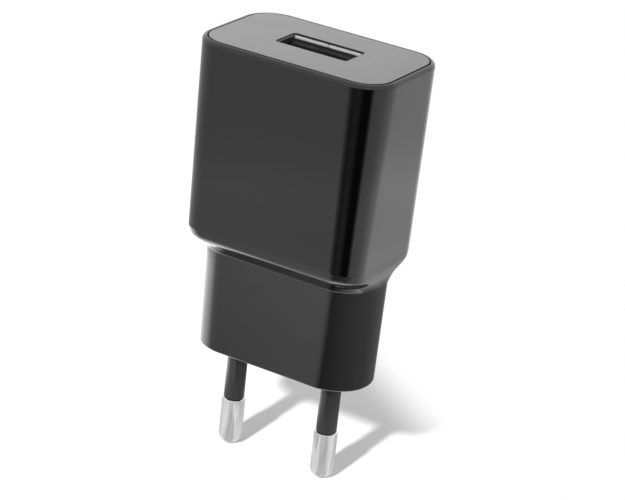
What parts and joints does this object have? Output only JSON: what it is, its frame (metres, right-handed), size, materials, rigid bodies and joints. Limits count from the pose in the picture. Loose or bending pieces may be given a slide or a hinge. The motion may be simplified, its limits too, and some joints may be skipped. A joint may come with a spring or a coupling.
{
  "type": "usb wall charger",
  "caption": "Compact mains to USB charger: gloss black housing, round-pin plug below, satin face plate with a USB type A socket on top.",
  "frame": {"origin": "centre of the flat plug face that meets the wall socket, midway between the pins", "axes": "+X along the row of pins, -Y towards the front broad face, +Z from the pins towards the USB socket"},
  "size_m": [0.035, 0.0222, 0.0735],
  "materials": {
    "gloss_black_plastic": "polished, mirror gloss",
    "satin_black_plastic": "fine satin spark texture",
    "nickel_plate": "bright nickel plate on turned brass",
    "sleeve_plastic": "semi-matt moulded polyamide",
    "spring_bronze": "stamped phosphor bronze",
    "board_laminate": "glass-epoxy laminate with solder mask",
    "solder": "soft sheen",
    "tinned_wire": "tinned, smooth",
    "resistor_cement": "matt flameproof coating",
    "ferrite": "matt sintered ferrite",
    "copper_wire": "enamelled copper wire",
    "insulated_wire": "triple-insulated wire",
    "moulding_epoxy": "matt moulding compound",
    "capacitor_sleeve": "shrunk film sleeve",
    "bobbin_plastic": "phenolic moulding",
    "yellow_tape": "polyester tape",
    "blue_ceramic": "dipped epoxy coat",
    "chip_resistor_body": "glazed top",
    "chip_capacitor_body": "fired, matt",
    "fibre_card": "pressed insulating card",
    "shell_steel": "nickel-plated sheet steel, satin",
    "tongue_plastic": "glass-filled liquid crystal polymer",
    "gold_plate": "thin gold plate on spring alloy"
  },
  "bodies": {
    "charger": {"bridge_rectifier": "moulding_epoxy", "chip_capacitors": "chip_capacitor_body", "chip_resistors": "chip_resistor_body", "choke_core": "ferrite", "choke_winding": "copper_wire", "clamp_diode": "moulding_epoxy", "component_leads": "tinned_wire", "controller_chip": "moulding_epoxy", "face_plate": "satin_black_plastic", "fusible_resistor": "resistor_cement", "housing": "gloss_black_plastic", "input_capacitor_left": "capacitor_sleeve", "input_capacitor_right": "capacitor_sleeve", "insulation_sheet": "fibre_card", "main_board": "board_laminate", "mains_contact_left": "spring_bronze", "mains_contact_right": "spring_bronze", "output_capacitor": "capacitor_sleeve", "output_diode": "moulding_epoxy", "pin_carrier": "sleeve_plastic", "pin_left": "nickel_plate", "pin_right": "nickel_plate", "primary_winding": "copper_wire", "safety_capacitor": "blue_ceramic", "secondary_winding": "insulated_wire", "sleeve_left": "sleeve_plastic", "sleeve_right": "sleeve_plastic", "solder_joints": "solder", "transformer_bobbin": "bobbin_plastic", "transformer_core": "ferrite", "usb_contact_tails": "gold_plate", "usb_insulator": "tongue_plastic", "usb_shell": "shell_steel", "winding_tape": "yellow_tape"},
    "usb_contact_1": {"usb_contact_1": "gold_plate"},
    "usb_contact_2": {"usb_contact_2": "gold_plate"},
    "usb_contact_3": {"usb_contact_3": "gold_plate"},
    "usb_contact_4": {"usb_contact_4": "gold_plate"},
    "front_shell_springs": {"shell_springs_front": "shell_steel"},
    "back_shell_springs": {"shell_springs_back": "shell_steel"}
  },
  "joints": [
    {"name": "contact_1_bend", "type": "hinge", "parent": "charger", "child": "usb_contact_1", "pos_m": [-0.0035, 0.00089, 0.0459], "axis": [-1, 0, 0], "range_deg": [0, 5]},
    {"name": "contact_2_bend", "type": "hinge", "parent": "charger", "child": "usb_contact_2", "pos_m": [-0.001, 0.00089, 0.0459], "axis": [-1, 0, 0], "range_deg": [0, 5]},
    {"name": "contact_3_bend", "type": "hinge", "parent": "charger", "child": "usb_contact_3", "pos_m": [0.001, 0.00089, 0.0459], "axis": [-1, 0, 0], "range_deg": [0, 5]},
    {"name": "contact_4_bend", "type": "hinge", "parent": "charger", "child": "usb_contact_4", "pos_m": [0.0035, 0.00089, 0.0459], "axis": [-1, 0, 0], "range_deg": [0, 5]},
    {"name": "front_springs_bend", "type": "hinge", "parent": "charger", "child": "front_shell_springs", "pos_m": [0, -0.00234, 0.0466], "axis": [1, 0, 0], "range_deg": [0, 4.5]},
    {"name": "back_springs_bend", "type": "hinge", "parent": "charger", "child": "back_shell_springs", "pos_m": [0, 0.00308, 0.0466], "axis": [-1, 0, 0], "range_deg": [0, 4.5]}
  ],
  "couplings": [
    {"joint": "contact_2_bend", "follows": "contact_1_bend", "ratio": 1},
    {"joint": "contact_3_bend", "follows": "contact_1_bend", "ratio": 1},
    {"joint": "contact_4_bend", "follows": "contact_1_bend", "ratio": 1},
    {"joint": "back_springs_bend", "follows": "front_springs_bend", "ratio": 1}
  ]
}
